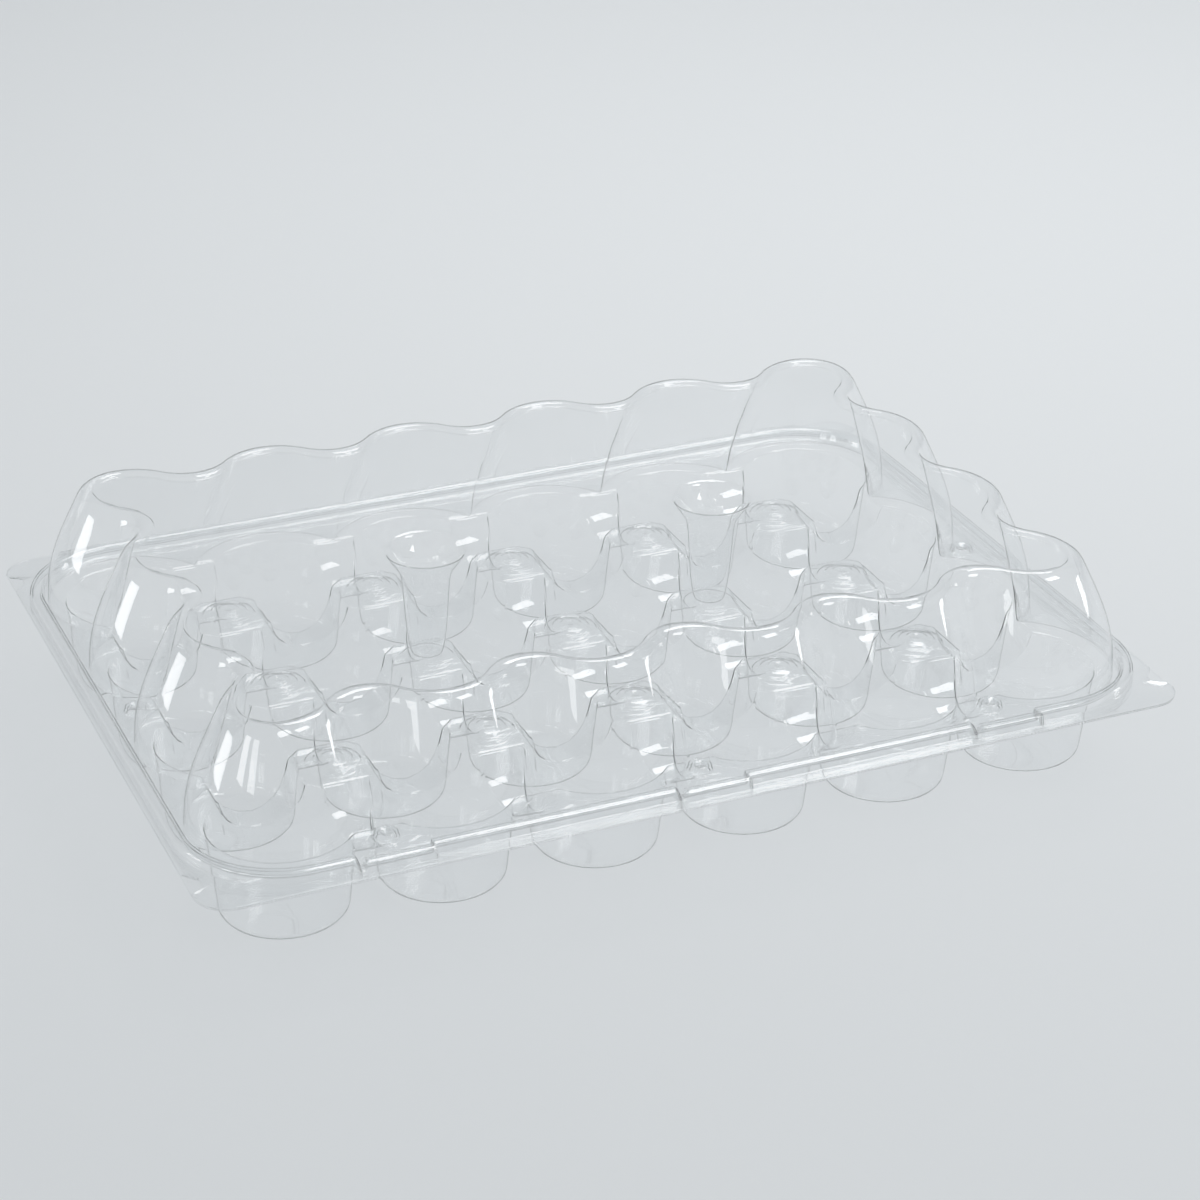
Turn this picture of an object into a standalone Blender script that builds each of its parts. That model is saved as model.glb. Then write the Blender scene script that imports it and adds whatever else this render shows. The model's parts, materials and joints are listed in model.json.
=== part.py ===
"""Clear clamshell pack for twenty-four cakes: a base tray of cups, a domed lid and a folded living hinge.

All three are thermoformed from one sheet. Frame: X along the long side, Y towards the hinge, Z up,
origin under the middle of the pack on the plane it stands on. Lengths below are in millimetres.
"""
import math

import bmesh
import bpy
from mathutils import Matrix, Vector

# The cup grid
COLUMNS, ROWS = 6, 4
PITCH_X, PITCH_Y = 76.0, 79.0
OUTER_COL = PITCH_X * (COLUMNS - 1) / 2          # centre of the outermost cup column
OUTER_ROW = PITCH_Y * (ROWS - 1) / 2             # centre of the outermost cup row

# Sheet and levels
SHEET = 0.6                                      # wall of every formed part
CLEAR = 0.3                                      # air between the nested parts
DECK_Z = 45.3                                    # upper side of the tray's deck and flange
LID_Z = DECK_Z + CLEAR                           # under side of the lid's flange

# Flange: front, sides and back edge, corner radius, and the lid's thumb notch beside each corner as
# (depth, distance from the front or back edge)
HALF_X, HALF_FRONT, HALF_BACK = 244.2, 180.0, 177.0
FLANGE_CORNER = 16.0
NOTCH = ((0.0, 34.0), (6.0, 27.0), (6.5, 21.5), (0.6, 18.0))

# Locking ridge around the deck: half length, half width, corner radius, height above the flange
RIDGE = ((240.4, 171.6, 50.0, 0.0), (239.4, 170.6, 49.0, 5.2),
         (236.6, 167.8, 46.2, 5.2), (234.6, 165.8, 44.2, 0.0))
RIDGE_PLAY = 0.6                                 # how far the lid's ridge stands off the tray's

# Cup: inner radius at the floor, just above the foot and at the deck, and the foot's height
CUP_FLOOR, CUP_FOOT, CUP_MOUTH, FOOT_Z = 26.0, 29.8, 35.5, 5.6
# Saddle between two cups: a round trough with its axis on the deck, as (distance from its middle, height)
TROUGH = 20.5
SADDLE = [(TROUGH * math.sin(a), DECK_Z - TROUGH * math.cos(a)) for a in map(math.radians, (0, 36, 66))]
SADDLE += [(TROUGH + 1.2, DECK_Z)]
PILLAR_REACH = 22.0                              # the pillar between four cups lies within this radius
# Stepped post on that pillar, from the deck up
POST = ((14.5, DECK_Z), (10.0, 47.6), (5.6, 49.4))
SEAT = ((14.5, DECK_Z), (10.0, 46.7), (7.4, 47.1))
LID_POST_COLUMNS = (-PITCH_X, PITCH_X)           # where the lid's posts stand on the tray's

# Lid wall, under side: height, how far a dome and a crease stand out from the outer cup line, hollow share
WALL = ((LID_Z, 42.4, 19.5, 0.0), (62.0, 40.8, 16.2, 0.08), (76.0, 36.4, 13.3, 0.2),
        (89.0, 30.7, 10.2, 0.31), (100.0, 25.2, 7.6, 0.4), (105.4, 19.6, 2.4, 0.44),
        (105.4, 17.0, -0.6, 0.44), (103.6, 16.2, -1.4, 0.44))
PANEL_Z = WALL[-1][0]
# Lid post, outer side, from the panel down
FUNNEL = ((19.8, PANEL_Z), (17.4, 100.6), (12.4, 92.0), (9.4, 74.0), (7.6, 50.5), (6.0, 47.7))

# Snap buttons in the deck beside the creases
BUTTON_FRONT, BUTTON_SIDE = 151.0, 221.0
BUTTON = ((5.2, DECK_Z), (4.3, 49.0))
BUTTON_CAP = ((6.0, LID_Z), (5.0, 49.5))

# Living hinge: a film folded into a bead round the hinge axis
AXIS_Y, AXIS_Z = 178.7, DECK_Z + CLEAR / 2
FILM = 0.35
HINGE_HALF = 214.0
FOLD = ((-1.15, -0.46), (-0.45, -0.86), (0.45, -0.80), (0.98, -0.42), (1.12, 0.0),
        (0.98, 0.42), (0.45, 0.80), (-0.45, 0.86), (-1.15, 0.46))

POST_STEPS, BUTTON_STEPS = 7, 7
BULGE_STEPS, CORNER_STEPS = 6, 4


def mm(x, y, z):
    return Vector((x, y, z)) * 0.001


def rounded_rectangle(half_x, front, back, radius, z, steps=6):
    """Points round a rectangle with quarter-circle corners, seen from above, anticlockwise."""
    points = []
    corners = ((half_x, -front, -90), (half_x, back, 0), (-half_x, back, 90), (-half_x, -front, 180))
    for x, y, start in corners:
        cx, cy = x - math.copysign(radius, x), y - math.copysign(radius, y)
        for k in range(steps + 1):
            a = math.radians(start + 90 * k / steps)
            points.append(mm(cx + radius * math.cos(a), cy + radius * math.sin(a), z))
    return points


def wave(offset, half, depth, hollow):
    """How far the scalloped line stands out of its creases, at an offset along it from a dome's middle.

    Each dome is a round arc, and the crease beside it a hollow arc tangent to it. hollow is the hollow arc's
    share of the two radii: 0 leaves a sharp crease."""
    steepest = 2 * math.atan(depth / half)
    radii = half / math.sin(steepest)
    convex, concave = radii * (1 - hollow), radii * hollow
    if abs(offset) <= convex * math.sin(steepest):
        return depth - convex + math.sqrt(convex ** 2 - offset ** 2)
    return concave - math.sqrt(max(0.0, concave ** 2 - (half - abs(offset)) ** 2))


def scalloped_outline(z, dome, crease, hollow):
    """The lid's plan outline at one height: a dome for each outer cup, with creases between them."""
    points = []
    sides = ((COLUMNS, PITCH_X, OUTER_ROW, 0), (ROWS, PITCH_Y, OUTER_COL, 90),
             (COLUMNS, PITCH_X, OUTER_ROW, 180), (ROWS, PITCH_Y, OUTER_COL, 270))
    for count, pitch, line, turn in sides:
        rotate = Matrix.Rotation(math.radians(turn), 3, "Z")
        run = pitch * (count - 1)
        for k in range((count - 1) * BULGE_STEPS):
            share = k / BULGE_STEPS
            out = crease + wave((share - round(share)) * pitch, pitch / 2, dome - crease, hollow)
            points.append(rotate @ mm(share * pitch - run / 2, -(line + out), z))
        for k in range(CORNER_STEPS):
            a = math.radians(-90 + 90 * k / CORNER_STEPS)
            points.append(rotate @ mm(run / 2 + dome * math.cos(a), -line + dome * math.sin(a), z))
    return points


def add_loop(bm, points):
    """A closed ring of vertices and edges."""
    verts = [bm.verts.new(p) for p in points]
    edges = [bm.edges.new((verts[k - 1], verts[k])) for k in range(len(verts))]
    return verts, edges


def loft(bm, outlines):
    """Quads between each outline and the next. Returns the edges of the first ring and the last."""
    rings = [add_loop(bm, points) for points in outlines]
    for (a, _), (b, _) in zip(rings, rings[1:]):
        for k in range(len(a)):
            bm.faces.new((a[k - 1], a[k], b[k], b[k - 1]))
    return rings[0][1], rings[-1][1]


def turned(bm, profile, x, y, steps):
    """A turned recess or peg: the profile spun about the vertical through x, y, closed by a flat end.

    Returns the edges of its mouth, the profile's first ring."""
    verts = [bm.verts.new(mm(x + r, y, z)) for r, z in profile]
    edges = [bm.edges.new(pair) for pair in zip(verts, verts[1:])]
    before = set(bm.edges)
    bmesh.ops.spin(bm, geom=verts + edges, cent=mm(x, y, 0), axis=(0, 0, 1),
                   angle=2 * math.pi, steps=steps, use_merge=True)
    rings = [e for e in set(bm.edges) - before | set(edges) if e.is_valid and len(e.link_faces) == 1]
    mouth = [e for e in rings if all(abs(v.co.z - profile[0][1] * 0.001) < 1e-7 for v in e.verts)]
    bmesh.ops.edgeloop_fill(bm, edges=[e for e in rings if e not in mouth])
    return mouth


def wall_radius(z):
    """The cup's inner radius at a height."""
    return CUP_FOOT + (CUP_MOUTH - CUP_FOOT) * (z - FOOT_Z) / (DECK_Z - FOOT_Z)


def rim_quarter():
    """(angle, height) of the rim's points from the middle of one saddle to the middle of the next."""
    dip = [(math.asin(y / wall_radius(z)), z) for y, z in SADDLE]
    return dip + [(math.pi / 2 - a, z) for a, z in reversed(dip)]


def cup_outline(i, j, place):
    """One ring of cup i, j. place gives (radius, height) from the height of the rim above the point."""
    x, y = i * PITCH_X - OUTER_COL, j * PITCH_Y - OUTER_ROW
    has_neighbour = (i < COLUMNS - 1, j < ROWS - 1, i > 0, j > 0)
    points = []
    for turn in range(4):
        for angle, rim in rim_quarter()[:-1]:
            a = angle + turn * math.pi / 2
            r, z = place(rim if has_neighbour[round(2 * a / math.pi) % 4] else DECK_Z)
            points.append(mm(x + r * math.cos(a), y + r * math.sin(a), z))
    return points


def cups(bm):
    """All the cups, with the saddles that join each one to its neighbours."""
    levels = (lambda rim: (CUP_FLOOR, SHEET), lambda rim: (CUP_FOOT, FOOT_Z), lambda rim: (wall_radius(rim), rim))
    rims = {}
    for i in range(COLUMNS):
        for j in range(ROWS):
            floor, rims[i, j] = loft(bm, [cup_outline(i, j, place) for place in levels])
            bmesh.ops.edgeloop_fill(bm, edges=floor)
    for (i, j), rim in rims.items():
        for side, neighbour in ((0, (i + 1, j)), (1, (i, j + 1))):
            if neighbour in rims:
                bmesh.ops.bridge_loops(bm, edges=dip(rim, side) + dip(rims[neighbour], side + 2))


def dip(rim, side):
    """The rim edges along one saddle. Edge k of a ring ends at its point k."""
    middle = side * len(rim) // 4
    return [rim[(middle + k) % len(rim)] for k in range(2 - len(SADDLE), len(SADDLE))]


def crossings():
    """Centres between four cups."""
    return [((i + 0.5) * PITCH_X - OUTER_COL, (j + 0.5) * PITCH_Y - OUTER_ROW)
            for i in range(COLUMNS - 1) for j in range(ROWS - 1)]


def near(edge, x, y, reach):
    """True if both ends of the edge lie within reach of x, y in plan."""
    return all((v.co.xy - mm(x, y, 0).xy).length < reach * 0.001 for v in edge.verts)


def button_places():
    """Three snap buttons on the front, each beside a crease, and one in the middle of each short side."""
    return [(2 * k * PITCH_X, -BUTTON_FRONT) for k in (-1, 0, 1)] + [(side * BUTTON_SIDE, 0.0) for side in (-1, 1)]


def trim_line(z, notched):
    """The flange's cut edge, anticlockwise from the front right corner."""
    points = rounded_rectangle(HALF_X, HALF_FRONT, HALF_BACK, FLANGE_CORNER, z)
    if not notched:
        return points
    corner = len(points) // 4
    front = [mm(HALF_X - depth, away - HALF_FRONT, z) for depth, away in reversed(NOTCH)]
    back = [mm(HALF_X - depth, HALF_BACK - away, z) for depth, away in NOTCH]
    right = points[:corner] + front + back + points[corner:2 * corner]
    return right + [Vector((-p.x, p.y, p.z)) for p in reversed(right)]


def ridge_and_flange(bm, outline, ridge):
    """The flange out to its cut edge and the ridge inside it. Returns the edges of the ridge's inner foot."""
    outer, inner = loft(bm, ridge)
    bmesh.ops.triangle_fill(bm, edges=add_loop(bm, outline)[1] + outer, use_beauty=True)
    return inner


def finish_sheet(name, bm, offset, colour):
    """The surface, turned to face up, as an object with its wall thickness."""
    bmesh.ops.remove_doubles(bm, verts=bm.verts, dist=1e-6)
    bmesh.ops.recalc_face_normals(bm, faces=bm.faces)
    highest = max(bm.faces, key=lambda f: abs(f.normal.z) * f.calc_area())
    if highest.normal.z < 0:
        bmesh.ops.reverse_faces(bm, faces=bm.faces)
    bmesh.ops.triangulate(bm, faces=[f for f in bm.faces if len(f.verts) == 4])
    mesh = bpy.data.meshes.new(name)
    bm.to_mesh(mesh)
    bm.free()
    mesh.materials.append(clear_plastic(name + "_plastic", colour))
    piece = bpy.data.objects.new(name, mesh)
    pack.objects.link(piece)
    wall = piece.modifiers.new("Wall", "SOLIDIFY")
    wall.thickness = SHEET * 0.001
    wall.offset = offset
    wall.use_even_offset = True
    wall.use_quality_normals = True
    return piece


def clear_plastic(name, colour):
    material = bpy.data.materials.new(name)
    material.use_nodes = True
    shader = material.node_tree.nodes["Principled BSDF"]
    shader.inputs["Base Color"].default_value = (*colour, 1.0)
    shader.inputs["Roughness"].default_value = 0.04
    shader.inputs["Metallic"].default_value = 0.0
    shader.inputs["IOR"].default_value = 1.57
    shader.inputs["Transmission Weight"].default_value = 1.0
    return material


def base_tray():
    bm = bmesh.new()
    cups(bm)
    rims = [e for e in bm.edges if len(e.link_faces) == 1]
    for x, y in crossings():
        pillar = [e for e in rims if near(e, x, y, PILLAR_REACH)]
        rims = [e for e in rims if e not in pillar]
        seat = y == 0 and x in LID_POST_COLUMNS
        bmesh.ops.triangle_fill(bm, edges=pillar + turned(bm, SEAT if seat else POST, x, y, POST_STEPS),
                                use_beauty=True)
    ridge = [rounded_rectangle(x, y, y, r, DECK_Z + z) for x, y, r, z in RIDGE]
    deck_edges = rims + ridge_and_flange(bm, trim_line(DECK_Z, False), ridge)
    for x, y in button_places():
        deck_edges += turned(bm, BUTTON, x, y, BUTTON_STEPS)
    bmesh.ops.triangle_fill(bm, edges=deck_edges, use_beauty=True)
    return finish_sheet("base_tray", bm, -1.0, (0.93, 0.96, 0.97))


def lid():
    bm = bmesh.new()
    ridge = []
    for k, (x, y, r, z) in enumerate(RIDGE):
        play = RIDGE_PLAY if k < 2 else -RIDGE_PLAY
        ridge.append(rounded_rectangle(x + play, y + play, y + play, r + play, LID_Z + z + (0.1 if z else 0.0)))
    shelf_edges = ridge_and_flange(bm, trim_line(LID_Z, True), ridge)
    foot, rim = loft(bm, [scalloped_outline(*level) for level in WALL])
    shelf_edges += foot
    for x, y in button_places():
        shelf_edges += turned(bm, BUTTON_CAP, x, y, BUTTON_STEPS)
    bmesh.ops.triangle_fill(bm, edges=shelf_edges, use_beauty=True)
    panel_edges = list(rim)
    for x in LID_POST_COLUMNS:
        panel_edges += turned(bm, FUNNEL, x, 0.0, 12)
    bmesh.ops.triangle_fill(bm, edges=panel_edges, use_beauty=True)
    piece = finish_sheet("lid", bm, 1.0, (0.93, 0.96, 0.97))
    axis = mm(0, AXIS_Y, AXIS_Z)
    piece.data.transform(Matrix.Translation(-axis))
    piece.location = axis
    return piece


def living_hinge():
    """The film that joins the two flanges, folded on itself while the pack is shut."""
    bm = bmesh.new()
    rows = [[bm.verts.new(mm(x, y, z)) for y, z in FOLD] for x in (-HINGE_HALF, HINGE_HALF)]
    for k in range(len(FOLD) - 1):
        bm.faces.new((rows[0][k], rows[1][k], rows[1][k + 1], rows[0][k + 1]))
    mesh = bpy.data.meshes.new("living_hinge")
    bm.to_mesh(mesh)
    bm.free()
    mesh.materials.append(clear_plastic("living_hinge_plastic", (0.93, 0.96, 0.97)))
    piece = bpy.data.objects.new("living_hinge", mesh)
    piece.location = mm(0, AXIS_Y, AXIS_Z)
    pack.objects.link(piece)
    wall = piece.modifiers.new("Film", "SOLIDIFY")
    wall.thickness = FILM * 0.001
    wall.offset = 0.0
    wall.use_even_offset = True
    return piece


for old in list(bpy.data.objects):
    bpy.data.objects.remove(old, do_unlink=True)
pack = bpy.data.collections.new("clamshell_pack")
bpy.context.scene.collection.children.link(pack)
base_tray()
lid()
living_hinge()
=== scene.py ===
# %% [markdown]
# A shut clamshell pack for twenty-four small cakes. The real one is thermoformed: a sheet of clear plastic is
# heated, drawn over a mould, trimmed and folded over a thin film at its back edge. So every shape here is a
# sheet: an open surface is built first, and a wall thickness is given to it last.
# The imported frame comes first, because it says where everything goes.

import json
import math

import bmesh
import bpy
from mathutils import Matrix, Vector


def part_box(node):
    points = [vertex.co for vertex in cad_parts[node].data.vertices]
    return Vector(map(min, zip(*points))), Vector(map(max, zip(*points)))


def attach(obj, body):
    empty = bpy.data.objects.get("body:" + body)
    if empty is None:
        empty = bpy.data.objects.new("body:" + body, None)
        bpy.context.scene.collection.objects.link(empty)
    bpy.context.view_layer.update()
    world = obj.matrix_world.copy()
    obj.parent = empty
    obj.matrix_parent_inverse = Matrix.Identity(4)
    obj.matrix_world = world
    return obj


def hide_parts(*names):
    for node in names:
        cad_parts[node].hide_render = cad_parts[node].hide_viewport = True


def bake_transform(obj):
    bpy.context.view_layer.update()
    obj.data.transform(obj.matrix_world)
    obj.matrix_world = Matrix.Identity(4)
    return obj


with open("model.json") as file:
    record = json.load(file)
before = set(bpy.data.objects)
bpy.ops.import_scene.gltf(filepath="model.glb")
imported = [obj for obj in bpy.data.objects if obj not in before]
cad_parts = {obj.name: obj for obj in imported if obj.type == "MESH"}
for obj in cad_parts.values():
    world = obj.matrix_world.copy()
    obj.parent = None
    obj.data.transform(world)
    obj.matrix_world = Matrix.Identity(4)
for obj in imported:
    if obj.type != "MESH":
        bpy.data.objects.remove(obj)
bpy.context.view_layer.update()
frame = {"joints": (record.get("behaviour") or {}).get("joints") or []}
MM = 0.001
tray_low, tray_high = (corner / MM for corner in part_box("base_tray"))
lid_low, lid_high = (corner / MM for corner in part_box("lid"))
hinge_axis = Vector(frame["joints"][0]["pos_m"]) / MM
print("tray", tuple(round(v, 1) for v in tray_high - tray_low), "mm, lid top at", round(lid_high.z, 1))

# %% [markdown]
# The driving sizes, in millimetres. The cups stand on a grid, and nearly every other line follows that grid:
# the domes of the lid stand over the outer cups, and the creases between them fall between two cups.

# %% Driving sizes
COLUMNS, ROWS = 6, 4
PITCH_X, PITCH_Y = 76.0, 79.0
OUTER_COL = PITCH_X * (COLUMNS - 1) / 2
OUTER_ROW = PITCH_Y * (ROWS - 1) / 2
WALL = 0.45                       # the formed sheet's thickness
DECK_Z = 45.3                     # upper side of the tray's deck and flange
LID_Z = lid_low.z + 0.05 if lid_low.z > DECK_Z else DECK_Z + 0.3
HALF_X, FRONT, BACK = tray_high.x, -tray_low.y, 177.0
CORNER = 16.0                     # the flange's corner radius


print("outer cups at", OUTER_COL, "and", OUTER_ROW, "mm, flange", 2 * round(HALF_X, 1), "mm long")


def mm(x, y, z):
    """A point given in millimetres, in metres."""
    return Vector((x, y, z)) * MM


# %% [markdown]
# Most surfaces here are a closed ring of points that is extruded again and again, each new ring being moved
# to its own outline. That is what a modeller does by hand with Extrude and Scale, and it keeps the points in
# columns, so highlights run smoothly from ring to ring.

# %% Rings: extrude and place
MERGE = 0.004                     # points closer than this are one


def first_ring(bm, points):
    """A closed ring of points, from a circle whose points are moved to their places."""
    made = bmesh.ops.create_circle(bm, segments=len(points), radius=MM)["verts"]
    ring = sorted(made, key=lambda v: math.atan2(v.co.y, v.co.x))
    for v, point in zip(ring, points):
        v.co = point
    return ring


def ring_edges(bm, ring):
    """The edges of a closed ring."""
    return [bm.edges.get((ring[k - 1], ring[k])) for k in range(len(ring))]


def next_rings(bm, rings, outlines):
    """Extrudes closed rings into the next ones, whose points go to their places in the same order."""
    edges = [e for ring in rings for e in ring_edges(bm, ring)]
    made = bmesh.ops.extrude_edge_only(bm, edges=edges)["geom"]
    fresh = {v for v in made if isinstance(v, bmesh.types.BMVert)}
    following = []
    for ring, points in zip(rings, outlines):
        new = [next(e.other_vert(v) for e in v.link_edges if e.other_vert(v) in fresh) for v in ring]
        for v, point in zip(new, points):
            v.co = point
        following.append(new)
    return following


def next_ring(bm, ring, points):
    return next_rings(bm, [ring], [points])[0]


def turned(bm, profile, x, y, steps):
    """A profile of (radius, height) spun about the vertical through x, y, with its end closed flat."""
    verts = [bm.verts.new(mm(x + r, y, z)) for r, z in profile]
    edges = [bm.edges.new(pair) for pair in zip(verts, verts[1:])]
    before = set(bm.edges)
    bmesh.ops.spin(bm, geom=verts + edges, cent=mm(x, y, 0), axis=(0, 0, 1),
                   angle=2 * math.pi, steps=steps, use_merge=True)
    rings = [e for e in set(bm.edges) - before | set(edges) if e.is_valid and len(e.link_faces) == 1]
    mouth = [e for e in rings if all(abs(v.co.z - profile[0][1] * MM) < 1e-7 for v in e.verts)]
    bmesh.ops.edgeloop_fill(bm, edges=[e for e in rings if e not in mouth])
    return mouth


def fillet(centre, radius, start, end, steps):
    """Points (r, z) on an arc about centre, from one angle to another in degrees."""
    angles = [math.radians(start + (end - start) * k / steps) for k in range(steps + 1)]
    return [(centre[0] + radius * math.cos(a), centre[1] + radius * math.sin(a)) for a in angles]


def sheet(name, bm, side):
    """Gives the open surface its wall thickness and makes it an object. side is 1 to thicken up, -1 down."""
    bmesh.ops.remove_doubles(bm, verts=bm.verts, dist=MERGE * MM)
    slivers = {min(e.link_faces, key=lambda f: f.calc_area()) for e in bm.edges if len(e.link_faces) > 2}
    bmesh.ops.delete(bm, geom=list(slivers), context="FACES_ONLY")
    bmesh.ops.recalc_face_normals(bm, faces=bm.faces)
    widest = max(bm.faces, key=lambda f: abs(f.normal.z) * f.calc_area())
    if widest.normal.z < 0:
        bmesh.ops.reverse_faces(bm, faces=bm.faces)
    for face in bm.faces:
        face.smooth = True
    mesh = bpy.data.meshes.new(name)
    bm.to_mesh(mesh)
    bm.free()
    piece = bpy.data.objects.new(name, mesh)
    bpy.context.scene.collection.objects.link(piece)
    wall = piece.modifiers.new("Wall", "SOLIDIFY")
    wall.thickness = WALL * MM
    wall.offset = side
    print(name, len(mesh.vertices), "points,", len(mesh.polygons), "faces,", len(slivers), "slivers gone")
    return piece


# %% [markdown]
# The flange is the flat border that the trimming die leaves. Its edge is cut with rounded corners, and on the
# lid each corner has a notch beside it, so that a thumb can hold the tray's corner back while the lid is
# lifted. Fine ribs are pressed across both flanges. Here they are a zigzag of the border's points.

# %% The flange's edge
RIB_PITCH, RIB_HEIGHT = 1.8, 0.22
# The thumb notch beside each corner: how deep, and how far from the front or back edge.
NOTCH = ((0.0, 34.0), (3.0, 30.0), (6.2, 27.0), (6.5, 22.0), (3.4, 19.4), (0.6, 18.0))
BORDER = ((0.6, RIB_HEIGHT), (1.9, RIB_HEIGHT), (2.4, 0.0))   # how far in, and how high


def trim_line(notched):
    """The cut edge of a flange, as points (x, y) anticlockwise from the front left."""
    right = []
    for side, y_edge in ((-1, FRONT), (1, BACK)):
        centre = (HALF_X - CORNER, side * (y_edge - CORNER))
        start = -90 if side < 0 else 0
        arc = fillet(centre, CORNER, start, start + 90, 10)
        notch = [(HALF_X - depth, side * (y_edge - away)) for depth, away in NOTCH] if notched else []
        right += arc + notch[::-1] if side < 0 else notch + arc
    left = [(-x, y) for x, y in reversed(right)]
    return right + left


def spaced(outline, pitch):
    """Points at an even pitch along a closed outline, an even number of them."""
    runs = [(Vector(outline[k - 1]), Vector(outline[k])) for k in range(len(outline))]
    total = sum((b - a).length for a, b in runs)
    count = 2 * round(total / pitch / 2)
    points, travelled, wanted = [], 0.0, 0.0
    for a, b in runs:
        length = (b - a).length
        while wanted < travelled + length - 1e-9 and len(points) < count:
            points.append(a.lerp(b, (wanted - travelled) / length))
            wanted += total / count
        travelled += length
    return points


def flange_border(bm, z, notched):
    """The ribbed border of a flange, narrow round a notch. Returns the edges of its flat inner ring."""
    points = spaced(trim_line(notched), RIB_PITCH / 2)
    normals = []
    for k, point in enumerate(points):
        along = (points[(k + 3) % len(points)] - points[k - 3]).normalized()
        normals.append(Vector((-along.y, along.x)))

    def ring(inset, ribs):
        out = []
        for k, (point, inward) in enumerate(zip(points, normals)):
            reach = inset * (1.0 + 0.4 * max(0.0, inward.y))
            if notched and abs(point.x) > 200:
                reach *= 0.22 + 0.78 * ease(abs(abs(point.y) - 155), 9, 14)
            place = point + inward * reach
            out.append(mm(place.x, place.y, z + (ribs if k % 2 else 0.0)))
        return out

    loop = first_ring(bm, ring(0.0, 0.0))
    for inset, ribs in BORDER:
        loop = next_ring(bm, loop, ring(inset, ribs))
    return ring_edges(bm, loop)


print("the lid's trimmed edge has", len(trim_line(True)), "corners before it is spaced out")

# %% [markdown]
# Inside the flange both parts have a locking ridge, a rounded upstand that runs right round. The lid's ridge
# drops over the tray's and grips it. On the front it has three stations: the ridge jogs outwards there, and a
# groove crosses it, which lets the two ridges snap over each other one stretch at a time.

# %% The locking ridge
RIDGE_X, RIDGE_Y, RIDGE_CORNER = 240.4, 171.6, 50.0
RIDGE = ((0.0, 0.0), (0.25, 0.6), (0.75, 3.9), (1.15, 4.8), (1.9, 5.2), (3.3, 5.2), (4.3, 4.7),
         (4.9, 3.6), (5.4, 0.7), (5.9, 0.0))   # how far in from the foot, and how high
STATIONS = tuple(k * PITCH_X for k in (-2, 0, 2))
JOG, JOG_START, JOG_END, GROOVE = 3.6, -20.0, 15.0, 1.7


def ease(value, low, high):
    """0 below low and 1 above high, with a soft change between them."""
    t = min(1.0, max(0.0, (value - low) / (high - low)))
    return t * t * (3 - 2 * t)


def jog(x):
    """How far the front ridge stands out at x."""
    rises = [ease(x - s, JOG_START - 0.5, JOG_START + 0.5) for s in STATIONS]
    falls = [ease(s - x, -JOG_END - 0.5, -JOG_END + 0.5) for s in STATIONS]
    return JOG * max(rise * fall for rise, fall in zip(rises, falls))


def groove(x):
    """1 on the ridge and near 0 in the grooves that cross it at x."""
    away = min(abs(x - s - JOG_START - 1.5) for s in STATIONS)
    return 1 - 0.8 * (1 - ease(away, GROOVE - 0.8, GROOVE + 0.4))


def front_stops():
    """Where the front ridge needs points: close together at the stations and wide apart elsewhere."""
    stops = {float(x) for x in range(-186, 187, 6)}
    for s in STATIONS:
        stops |= {s + JOG_START + d * 0.4 for d in range(-3, 13)}
        stops |= {s + JOG_END + d * 0.4 for d in range(-3, 4)}
    stops = sorted(stops)
    return [x for k, x in enumerate(stops) if k == 0 or x - stops[k - 1] > 0.15]


FRONT_STOPS = front_stops()
SIDE_STOPS = [y * 6.0 for y in range(-20, 21)]
print("the front ridge has", len(FRONT_STOPS), "points,", len(STATIONS), "stations")


def ridge_ring(inset, height, z, play):
    """The ridge's plan outline at one step of its profile."""
    out = -play if inset > 2.6 else play
    half_x, half_y, radius = RIDGE_X - inset + out, RIDGE_Y - inset + out, RIDGE_CORNER - inset + out
    points = [mm(x, -half_y - jog(x), z + height * groove(x)) for x in FRONT_STOPS]
    corner_x, corner_y = half_x - radius, half_y - radius

    def corner(sx, sy, start):
        arc = fillet((sx * corner_x, sy * corner_y), radius, start, start + 90, 16)
        return [mm(x, y, z + height) for x, y in arc]

    points += corner(1, -1, -90)
    points += [mm(half_x, y, z + height) for y in SIDE_STOPS[1:-1]]
    points += corner(1, 1, 0)
    points += [mm(x, half_y, z + height) for x in reversed(FRONT_STOPS)]
    points += corner(-1, 1, 90)
    points += [mm(-half_x, y, z + height) for y in reversed(SIDE_STOPS[1:-1])]
    points += corner(-1, -1, 180)
    return points


def ridge(bm, z, play):
    """The ridge. Returns the edges of its outer foot and of a flat ring inside its inner foot."""
    loop = first_ring(bm, ridge_ring(-0.5, 0.0, z, play))
    outer = ring_edges(bm, loop)
    for inset, height in RIDGE + ((6.2, 0.0),):
        loop = next_ring(bm, loop, ridge_ring(inset, height, z, play))
    return outer, ring_edges(bm, loop)


# %% [markdown]
# Three snap buttons stand behind the front ridge and one behind each side ridge. The tray's is a small stud,
# and the lid's is a cap that clicks over it.

# %% Snap buttons
def button_places():
    """The buttons' centres, each beside a crease of the lid."""
    return [(s, -151.0) for s in STATIONS] + [(side * 222.0, 0.0) for side in (-1, 1)]


def button(bm, radius, foot, top):
    """Studs or caps with a rounded shoulder and a dished top. Returns the edges of their feet."""
    lip = [(radius + 0.9, foot), (radius + 0.3, foot + 0.15), (radius, foot + 0.7)]
    shoulder = fillet((radius - 1.7, top - 1.0), 1.0, 0, 90, 4)
    dish = [(radius - 2.4, top - 0.1), (radius - 2.9, top - 0.55)]
    edges = []
    for x, y in button_places():
        edges += turned(bm, lip + shoulder + dish, x, y, 20)
    return edges


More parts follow.
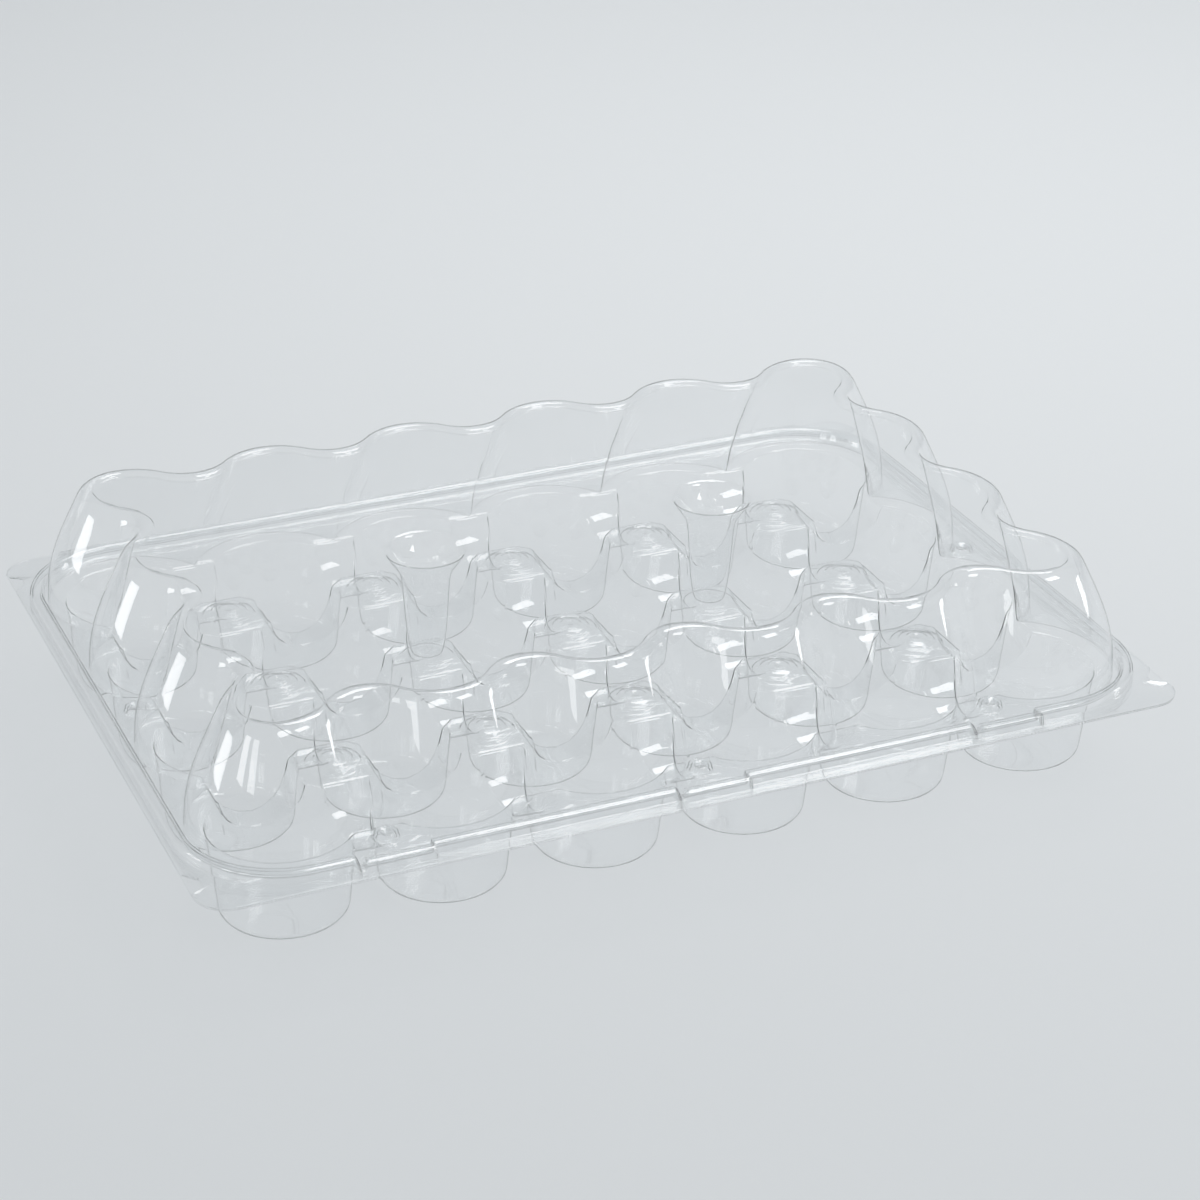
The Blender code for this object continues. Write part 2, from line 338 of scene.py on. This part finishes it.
# %% [markdown]
# A cup is nearly a turned shape, but its rim is not level. Between two neighbours the wall dips into a
# rounded saddle, and only the pillar where four cups meet rises to the deck. So each cup is a stack of rings
# about its own axis, and the top of its wall follows the saddles. The angles of the points are chosen so that
# they crowd where the rim drops, and so that two neighbours have the same points and can be bridged.

# %% Cups with saddles
CUP_FOOT, CUP_MOUTH = 29.8, 35.5      # wall radius just above the foot and at the deck
FOOT_Z, FOOT_ROUND = 5.6, 4.6
SADDLE = 20.5                          # radius of the trough between two cups
LIP = 1.6                              # rounding of the cup's rim


def wall_radius(z):
    """The cup's inner radius at a height."""
    return CUP_FOOT + (CUP_MOUTH - LIP - CUP_FOOT) * (z - FOOT_Z) / (DECK_Z - FOOT_Z)


def saddle_line():
    """Half the saddle's section: (distance from its middle, height), from the bottom up to the deck."""
    bowl = [(SADDLE * math.sin(math.radians(a)), DECK_Z - SADDLE * math.cos(math.radians(a)))
            for a in (0, 18, 36, 53, 69)]
    return bowl + [(SADDLE + 0.1, DECK_Z - 2.6), (SADDLE + 0.6, DECK_Z - 0.9), (SADDLE + 1.9, DECK_Z)]


def rim_stops():
    """(angle, height) round a cup's rim: saddles towards its four neighbours and level arcs between them."""
    reach = [wall_radius(z) + LIP for _, z in saddle_line()]
    dips = [(math.asin(y / r), z) for (y, z), r in zip(saddle_line(), reach)]
    quarter = list(dips)
    gap = math.pi / 2 - 2 * dips[-1][0]
    quarter += [(dips[-1][0] + gap * k / 4, DECK_Z) for k in (1, 2, 3)]
    quarter += [(math.pi / 2 - a, z) for a, z in reversed(dips)]
    stops = []
    for turn in range(4):
        part = quarter if turn % 2 == 0 else [(math.pi / 2 - a, z) for a, z in reversed(quarter)]
        stops += [(turn * math.pi / 2 + a, z) for a, z in part[:-1]]
    return stops


RIM_STOPS = rim_stops()
DIP_POINTS = len(saddle_line())
print("each cup's rings have", len(RIM_STOPS), "points; the saddle's bottom is at", round(DECK_Z - SADDLE, 1), "mm")


def cup_outline(i, j, place):
    """One ring of cup i, j. place gives a point's (radius, height) from the height of the rim above."""
    x, y = i * PITCH_X - OUTER_COL, j * PITCH_Y - OUTER_ROW
    has_neighbour = (i < COLUMNS - 1, j < ROWS - 1, i > 0, j > 0)
    points = []
    for angle, rim in RIM_STOPS:
        side = round(angle / (math.pi / 2)) % 4
        r, z = place(rim if has_neighbour[side] else DECK_Z)
        points.append(mm(x + r * math.cos(angle), y + r * math.sin(angle), z))
    return points


def fixed(r, z):
    """A level ring of the floor or the foot."""
    return lambda rim: (r, z)


def wall(share):
    """A ring that far up the wall."""
    def place(rim):
        z = FOOT_Z + (rim - LIP - FOOT_Z) * share
        return wall_radius(z), z
    return place


def lip(angle):
    """A ring on the rounding of the rim."""
    turn = math.radians(angle)
    outwards, down = LIP * (1 - math.cos(turn)), LIP * (1 - math.sin(turn))
    return lambda rim: (wall_radius(rim - LIP) + outwards, rim - down)


FLOOR = [(12.0, 0.45), (23.6, 0.45)]
FOOT = fillet((CUP_FOOT - FOOT_ROUND, 0.45 + FOOT_ROUND), FOOT_ROUND, -90, 0, 4)
CUP_RINGS = [fixed(r, z) for r, z in FLOOR + FOOT[1:]] + [wall(0.5), wall(1.0)]
CUP_RINGS += [lip(a) for a in (30, 60, 90)]


def rim_run(loop, side):
    """The rim points of one saddle, from one end of the dip to the other."""
    middle = side * (len(loop) // 4)
    return [loop[(middle + k) % len(loop)] for k in range(1 - DIP_POINTS, DIP_POINTS)]


def run_edges(bm, run):
    return [bm.edges.get(pair) for pair in zip(run, run[1:])]


def all_cups(bm):
    """Every cup, with the saddles that join it to its neighbours."""
    places = [(i, j) for i in range(COLUMNS) for j in range(ROWS)]
    rings = [first_ring(bm, cup_outline(i, j, CUP_RINGS[0])) for i, j in places]
    for ring in rings:
        bmesh.ops.edgeloop_fill(bm, edges=ring_edges(bm, ring))
    for step in CUP_RINGS[1:]:
        rings = next_rings(bm, rings, [cup_outline(i, j, step) for i, j in places])
    rims = dict(zip(places, rings))
    for (i, j), rim in rims.items():
        for side, neighbour in ((0, (i + 1, j)), (1, (i, j + 1))):
            if neighbour in rims:
                near_side = run_edges(bm, rim_run(rim, side))
                far_side = run_edges(bm, rim_run(rims[neighbour], side + 2))
                bmesh.ops.bridge_loops(bm, edges=near_side + far_side)


# %% [markdown]
# Where four cups meet, a stepped post rises from the deck. Its steps stop the sheet from buckling. The two
# posts under the lid's hanging posts are lower, because those stand over them.

# %% Stepped posts
POST = ((14.6, DECK_Z), (13.6, 45.45), (13.1, 46.0), (12.8, 46.7), (12.1, 47.0), (9.9, 47.05),
        (9.3, 47.3), (9.0, 48.1), (8.5, 48.45), (5.9, 48.5), (5.3, 48.75), (5.0, 49.2), (4.5, 49.4),
        (2.4, 49.4), (1.9, 49.1))
SEAT = ((14.6, DECK_Z), (13.6, 45.45), (13.1, 45.9), (12.7, 46.4), (12.0, 46.7), (9.8, 46.75),
        (9.3, 46.9), (8.6, 47.1), (4.0, 47.1))
POST_STEPS = 28
LID_POSTS = (-PITCH_X, PITCH_X)
PILLAR_REACH = 22.0               # a pillar's deck lies within this of its middle


def inner_crossings():
    """Centres between four cups."""
    return [((i + 1) * PITCH_X - OUTER_COL - PITCH_X / 2, (j + 1) * PITCH_Y - OUTER_ROW - PITCH_Y / 2)
            for i in range(COLUMNS - 1) for j in range(ROWS - 1)]


def near(edge, x, y, reach):
    """True if both ends of the edge lie within reach of x, y, on the deck."""
    return all(math.hypot(v.co.x / MM - x, v.co.y / MM - y) < reach for v in edge.verts)


print(len(inner_crossings()), "posts,", len(LID_POSTS), "of them low")

# %% The tray, put together
def base_tray():
    bm = bmesh.new()
    mouths = {}
    for x, y in inner_crossings():
        seat = abs(y) < 1 and any(abs(x - p) < 1 for p in LID_POSTS)
        mouths[x, y] = turned(bm, SEAT if seat else POST, x, y, POST_STEPS)
    studs = button(bm, 4.9, DECK_Z, 49.0)
    all_cups(bm)
    taken = set(studs).union(*mouths.values())
    rims = [e for e in bm.edges if len(e.link_faces) == 1 and e not in taken]
    for (x, y), mouth in mouths.items():
        island = [e for e in rims if near(e, x, y, PILLAR_REACH)]
        taken.update(island)
        bmesh.ops.triangle_fill(bm, edges=island + mouth, use_beauty=True)
    around = [e for e in rims if e not in taken]
    outer, inner = ridge(bm, DECK_Z, 0.0)
    bmesh.ops.triangle_fill(bm, edges=inner + around + studs, use_beauty=True)
    border = flange_border(bm, DECK_Z, False)
    bmesh.ops.triangle_fill(bm, edges=border + outer, use_beauty=True)
    return sheet("tray_sheet", bm, -1.0)


tray = base_tray()

# %% [markdown]
# The lid's wall is scalloped in plan: a dome for each outer cup and a crease between two domes. At the foot
# the domes are plain arcs that meet in sharp creases. Going up, the wall leans in and each crease becomes a
# hollow arc, tangent to the domes beside it, until the rim is a soft wave. A few levels are given, and a
# smooth curve runs through them.

# %% The lid's wall and rim
# Height, how far a dome and a crease stand out from the outer cups' line, and the hollow arc's share.
LEVELS = ((LID_Z, 42.6, 19.8, 0.0), (47.0, 42.3, 18.9, 0.0), (54.0, 41.9, 17.6, 0.03),
          (62.0, 40.8, 16.2, 0.08), (70.0, 38.7, 14.6, 0.14), (78.0, 35.8, 12.9, 0.21),
          (86.0, 32.2, 11.0, 0.28), (93.0, 28.8, 9.3, 0.34), (99.0, 25.8, 7.8, 0.39))
RIM = ((102.2, 24.1, 7.0, 0.41), (104.1, 22.6, 5.7, 0.42), (105.2, 20.9, 4.0, 0.44),
       (105.5, 19.6, 2.4, 0.44), (105.3, 18.2, 0.4, 0.44), (105.1, 17.4, -0.9, 0.44),
       (104.6, 16.9, -1.5, 0.44), (104.0, 16.6, -1.8, 0.44), (103.65, 16.1, -2.3, 0.44),
       (103.6, 15.2, -3.2, 0.44))
PANEL_Z = RIM[-1][0]
BULGE_STEPS, CORNER_STEPS, LEVEL_STEPS = 20, 14, 2


def wave(offset, half, depth, hollow):
    """How far the scalloped line stands out of its creases, at an offset along it from a dome's middle."""
    steepest = 2 * math.atan(depth / half)
    radii = half / math.sin(steepest)
    convex, concave = radii * (1 - hollow), radii * hollow
    if abs(offset) <= convex * math.sin(steepest):
        return depth - convex + math.sqrt(convex ** 2 - offset ** 2)
    return concave - math.sqrt(max(0.0, concave ** 2 - (half - abs(offset)) ** 2))


def scalloped(level):
    """The wall's plan outline at one level: height, reach of a dome and of a crease, hollow share."""
    z, dome, crease, hollow = level
    points = []
    sides = ((COLUMNS, PITCH_X, OUTER_ROW, 0), (ROWS, PITCH_Y, OUTER_COL, 90),
             (COLUMNS, PITCH_X, OUTER_ROW, 180), (ROWS, PITCH_Y, OUTER_COL, 270))
    for count, pitch, line, turn in sides:
        rotate = Matrix.Rotation(math.radians(turn), 3, "Z")
        run = pitch * (count - 1)
        for k in range((count - 1) * BULGE_STEPS):
            share = k / BULGE_STEPS
            out = crease + wave((share - round(share)) * pitch, pitch / 2, dome - crease, hollow)
            points.append(rotate @ mm(share * pitch - run / 2, -(line + out), z))
        for k in range(CORNER_STEPS):
            a = math.radians(-90 + 90 * k / CORNER_STEPS)
            points.append(rotate @ mm(run / 2 + dome * math.cos(a), -line + dome * math.sin(a), z))
    return points


def through(levels, steps):
    """A smooth curve through the levels, with some steps from each to the next."""
    ends = [levels[0]] + list(levels) + [levels[-1]]
    out = []
    for a, b, c, d in zip(ends, ends[1:], ends[2:], ends[3:]):
        for k in range(steps):
            t = k / steps
            out.append(tuple(0.5 * (2 * q + (r - p) * t + (2 * p - 5 * q + 4 * r - s) * t ** 2
                                    + (3 * q - p - 3 * r + s) * t ** 3)
                             for p, q, r, s in zip(a, b, c, d)))
    return out + [levels[-1]]


# %% [markdown]
# Two hollow posts hang from the panel over the tray's lower posts, and hold it up when packs are stacked.
# They are turned shapes: wide at the mouth, then nearly straight, and closed by a flat foot.

# %% The lid, put together
FUNNEL = ((21.6, PANEL_Z), (20.2, 103.4), (19.2, 102.7), (18.6, 101.6), (17.3, 99.2), (15.4, 96.4),
          (13.5, 93.6), (12.3, 90.4), (11.6, 85.0), (11.1, 77.0), (10.5, 68.0), (9.8, 60.0),
          (8.9, 53.5), (8.3, 50.5), (7.9, 49.2), (7.2, 48.4), (6.0, 48.1))


def lid():
    bm = bmesh.new()
    mouths = [e for x in LID_POSTS for e in turned(bm, FUNNEL, x, 0.0, 40)]
    caps = button(bm, 5.8, LID_Z, 49.5)
    ring = first_ring(bm, scalloped((LID_Z, LEVELS[0][1] + 0.5, LEVELS[0][2] + 0.5, 0.0)))
    foot = ring_edges(bm, ring)
    for level in through(LEVELS, LEVEL_STEPS) + list(RIM):
        ring = next_ring(bm, ring, scalloped(level))
    bmesh.ops.triangle_fill(bm, edges=ring_edges(bm, ring) + mouths, use_beauty=True)
    outer, inner = ridge(bm, LID_Z, 0.6)
    bmesh.ops.triangle_fill(bm, edges=inner + foot + caps, use_beauty=True)
    border = flange_border(bm, LID_Z, True)
    bmesh.ops.triangle_fill(bm, edges=border + outer, use_beauty=True)
    return sheet("lid_sheet", bm, 1.0)


lid_piece = lid()

# %% [markdown]
# Tray and lid are joined by a film at the back, thinned in the mould so that it folds. Shut, it makes a small
# bead behind the two flanges. The fold's section is drawn once and extruded along the edge.

# %% The living hinge
FOLD_RADIUS, FILM = 1.12, 0.25
FLAT_FOLD = 0.86                  # the fold is pressed to this half height
HINGE_HALF, HINGE_STEPS = 214.0, 24


def living_hinge():
    bm = bmesh.new()
    section = [(-1.15, -0.46)] + fillet((0.0, 0.0), FOLD_RADIUS, -112, 112, 14) + [(-1.15, 0.46)]
    section = [(y, max(-FLAT_FOLD, min(FLAT_FOLD, z * 0.78))) for y, z in section]
    verts = [bm.verts.new(mm(-HINGE_HALF, hinge_axis.y + y, hinge_axis.z + z)) for y, z in section]
    edges = [bm.edges.new(pair) for pair in zip(verts, verts[1:])]
    for _ in range(HINGE_STEPS):
        made = bmesh.ops.extrude_edge_only(bm, edges=edges)["geom"]
        edges = [e for e in made if isinstance(e, bmesh.types.BMEdge)]
        fresh = [v for v in made if isinstance(v, bmesh.types.BMVert)]
        bmesh.ops.translate(bm, verts=fresh, vec=mm(2 * HINGE_HALF / HINGE_STEPS, 0, 0))
    bmesh.ops.recalc_face_normals(bm, faces=bm.faces)
    bmesh.ops.solidify(bm, geom=bm.faces, thickness=FILM * MM)
    bmesh.ops.recalc_face_normals(bm, faces=bm.faces)
    for face in bm.faces:
        face.smooth = True
    mesh = bpy.data.meshes.new("hinge_film")
    bm.to_mesh(mesh)
    bm.free()
    piece = bpy.data.objects.new("hinge_film", mesh)
    bpy.context.scene.collection.objects.link(piece)
    return piece


film = living_hinge()

# %% [markdown]
# A formed sheet this thin hardly bends what is seen through it, because its two faces run side by side. What
# shows is the mirror image that each face throws, faint when seen square on and strong at a glance. So the
# mirror comes from a coat with the index of PET, 1.57, over a body that bends light only slightly.
# Lamps are let through by a Transparent shader, because caustics would take far too long. Light from above
# meets a steep wall at a glance and is partly turned aside, so that shader is darker where the wall is steep.

# %% Clear plastic
FLAT_SHADE = (0.998, 0.998, 0.998, 1)
STEEP_SHADE = (0.975, 0.977, 0.978, 1)


def clear_plastic(name, tint):
    material = bpy.data.materials.new(name)
    material.use_nodes = True
    tree = material.node_tree
    tree.nodes.clear()
    out = tree.nodes.new("ShaderNodeOutputMaterial")
    mix = tree.nodes.new("ShaderNodeMixShader")
    rays = tree.nodes.new("ShaderNodeLightPath")
    place = tree.nodes.new("ShaderNodeTexCoord")

    glass = tree.nodes.new("ShaderNodeBsdfPrincipled")
    glass.inputs["Base Color"].default_value = (*tint, 1)
    glass.inputs["Roughness"].default_value = 0.0
    glass.inputs["IOR"].default_value = 1.03
    glass.inputs["Transmission Weight"].default_value = 1.0
    glass.inputs["Coat Weight"].default_value = 1.0
    glass.inputs["Coat IOR"].default_value = 1.57
    glass.inputs["Coat Roughness"].default_value = 0.02

    waves = tree.nodes.new("ShaderNodeTexNoise")
    waves.inputs["Scale"].default_value = 45.0
    waves.inputs["Detail"].default_value = 1.0
    bump = tree.nodes.new("ShaderNodeBump")
    bump.inputs["Strength"].default_value = 0.02
    bump.inputs["Distance"].default_value = 0.001
    tree.links.new(place.outputs["Object"], waves.inputs["Vector"])
    tree.links.new(waves.outputs["Fac"], bump.inputs["Height"])
    tree.links.new(bump.outputs["Normal"], glass.inputs["Normal"])
    tree.links.new(bump.outputs["Normal"], glass.inputs["Coat Normal"])

    parts = tree.nodes.new("ShaderNodeSeparateXYZ")
    upright = tree.nodes.new("ShaderNodeMath")
    upright.operation = "ABSOLUTE"
    shade = tree.nodes.new("ShaderNodeMix")
    shade.data_type = "RGBA"
    shade.inputs[6].default_value = STEEP_SHADE
    shade.inputs[7].default_value = FLAT_SHADE
    lamps_pass = tree.nodes.new("ShaderNodeBsdfTransparent")
    tree.links.new(place.outputs["Normal"], parts.inputs[0])
    tree.links.new(parts.outputs["Z"], upright.inputs[0])
    tree.links.new(upright.outputs[0], shade.inputs[0])
    tree.links.new(shade.outputs[2], lamps_pass.inputs["Color"])

    unseen = tree.nodes.new("ShaderNodeMath")
    unseen.operation = "MAXIMUM"
    tree.links.new(rays.outputs["Is Shadow Ray"], unseen.inputs[0])
    tree.links.new(rays.outputs["Is Diffuse Ray"], unseen.inputs[1])
    tree.links.new(unseen.outputs[0], mix.inputs["Fac"])
    tree.links.new(glass.outputs[0], mix.inputs[1])
    tree.links.new(lamps_pass.outputs[0], mix.inputs[2])
    tree.links.new(mix.outputs[0], out.inputs["Surface"])
    return material


plastic = clear_plastic("clear_sheet", (0.995, 0.998, 0.999))
for piece in (tray, lid_piece, film):
    piece.data.materials.append(plastic)

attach(tray, "tray")
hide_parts("base_tray")
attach(lid_piece, "lid")
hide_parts("lid")
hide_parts("living_hinge")
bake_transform(film)

# %% [markdown]
# The stage is one pale sheet that runs flat under the pack and curves up behind it, so there is no horizon.

# %% Floor and backdrop
CURVE = 1.6                       # radius where the floor turns up, in metres


def sweep():
    bm = bmesh.new()
    line = [(-4.0, 0.0), (2.2, 0.0)]   # how far back and how high, in metres
    for a in range(6, 91, 6):
        turn = math.radians(a)
        line.append((2.2 + CURVE * math.sin(turn), CURVE * (1 - math.cos(turn))))
    line += [(3.8, 5.0)]
    verts = [bm.verts.new((-6.0, y, z - 0.0002)) for y, z in line]
    edges = [bm.edges.new(pair) for pair in zip(verts, verts[1:])]
    made = bmesh.ops.extrude_edge_only(bm, edges=edges)["geom"]
    bmesh.ops.translate(bm, verts=[v for v in made if isinstance(v, bmesh.types.BMVert)], vec=(12, 0, 0))
    bmesh.ops.recalc_face_normals(bm, faces=bm.faces)
    if max(bm.faces, key=lambda f: f.calc_area()).normal.z < 0:
        bmesh.ops.reverse_faces(bm, faces=bm.faces)
    for face in bm.faces:
        face.smooth = True
    mesh = bpy.data.meshes.new("backdrop")
    bm.to_mesh(mesh)
    bm.free()
    floor = bpy.data.objects.new("backdrop", mesh)
    bpy.context.scene.collection.objects.link(floor)
    floor.rotation_euler.z = math.radians(-24)
    paper = bpy.data.materials.new("pale_paper")
    paper.use_nodes = True
    shader = paper.node_tree.nodes["Principled BSDF"]
    shader.inputs["Base Color"].default_value = (0.80, 0.815, 0.825, 1)
    shader.inputs["Roughness"].default_value = 0.9
    shader.inputs["Specular IOR Level"].default_value = 0.1
    mesh.materials.append(paper)


sweep()

# %% [markdown]
# The camera looks down on the pack from the front left with a long lens, from about a metre and a half away.

# %% Camera
AZIMUTH, ELEVATION, ROLL = math.radians(23.789), math.radians(27.267), math.radians(0.5875)
ahead = Vector((math.sin(AZIMUTH) * math.cos(ELEVATION), math.cos(AZIMUTH) * math.cos(ELEVATION),
                -math.sin(ELEVATION)))
level = ahead.cross(Vector((0, 0, 1))).normalized()
upward = level.cross(ahead)
right = math.cos(ROLL) * level + math.sin(ROLL) * upward
top = -math.sin(ROLL) * level + math.cos(ROLL) * upward
camera = bpy.data.objects.new("camera", bpy.data.cameras.new("camera"))
camera.data.lens = 91.6
camera.data.sensor_width = 36.0
camera.data.clip_end = 30.0
camera.matrix_world = Matrix.Translation((-0.52838, -1.23468, 0.75367)) @ Matrix(
    (right, top, -ahead)).transposed().to_4x4()
bpy.context.scene.collection.objects.link(camera)
bpy.context.scene.camera = camera
print("the camera stands", round(camera.location.length, 2), "m away")

# %% [markdown]
# Large soft lamps light the paper evenly, and clear plastic shows mostly their mirror images, so where the
# lamps stand decides where the highlights are. The room is pale all round, because the steep walls look sooty
# as soon as they mirror something darker than the paper behind them.

# %% Lights
def softbox(name, place, target, width, height, power):
    lamp = bpy.data.lights.new(name, "AREA")
    lamp.shape = "RECTANGLE"
    lamp.size, lamp.size_y = width, height
    lamp.energy = power
    holder = bpy.data.objects.new(name, lamp)
    holder.location = place
    holder.rotation_euler = (Vector(target) - Vector(place)).to_track_quat("-Z", "Y").to_euler()
    bpy.context.scene.collection.objects.link(holder)
    return holder


def from_side(azimuth, elevation, distance):
    """A place seen from the pack at an azimuth from +Y towards +X, and an elevation, in degrees."""
    a, e = math.radians(azimuth), math.radians(elevation)
    return distance * Vector((math.sin(a) * math.cos(e), math.cos(a) * math.cos(e), math.sin(e)))


CENTRE = (0, 0, 0.06)
softbox("key_box", from_side(147, 44, 2.6), CENTRE, 0.85, 0.65, 8)
softbox("left_box", from_side(-74, 8, 2.3), CENTRE, 0.72, 0.36, 2.6)
softbox("front_strip_a", from_side(-108, 20, 2.6), CENTRE, 0.42, 0.6, 2.0)
softbox("front_strip_b", from_side(-124, 20, 2.6), CENTRE, 0.42, 0.6, 1.5)
softbox("right_box", from_side(104, 8, 2.4), CENTRE, 0.35, 0.30, 1.8)
softbox("overhead", (0.6, 0.55, 1.7), (0.6, 0.55, 0), 0.9, 0.7, 10)
softbox("backdrop_fill", (1.4, 1.9, 2.9), (1.9, 3.5, 1.2), 1.4, 0.8, 10)

world = bpy.data.worlds.new("studio")
world.use_nodes = True
room = world.node_tree.nodes["Background"]
room.inputs["Color"].default_value = (0.80, 0.83, 0.85, 1)
room.inputs["Strength"].default_value = 0.64
bpy.context.scene.world = world

scene = bpy.context.scene
scene.view_settings.view_transform = "Standard"
scene.cycles.max_bounces = 20
scene.cycles.transmission_bounces = 20
scene.cycles.glossy_bounces = 8
scene.cycles.diffuse_bounces = 2
scene.cycles.transparent_max_bounces = 36
scene.cycles.caustics_reflective = False
scene.cycles.caustics_refractive = False
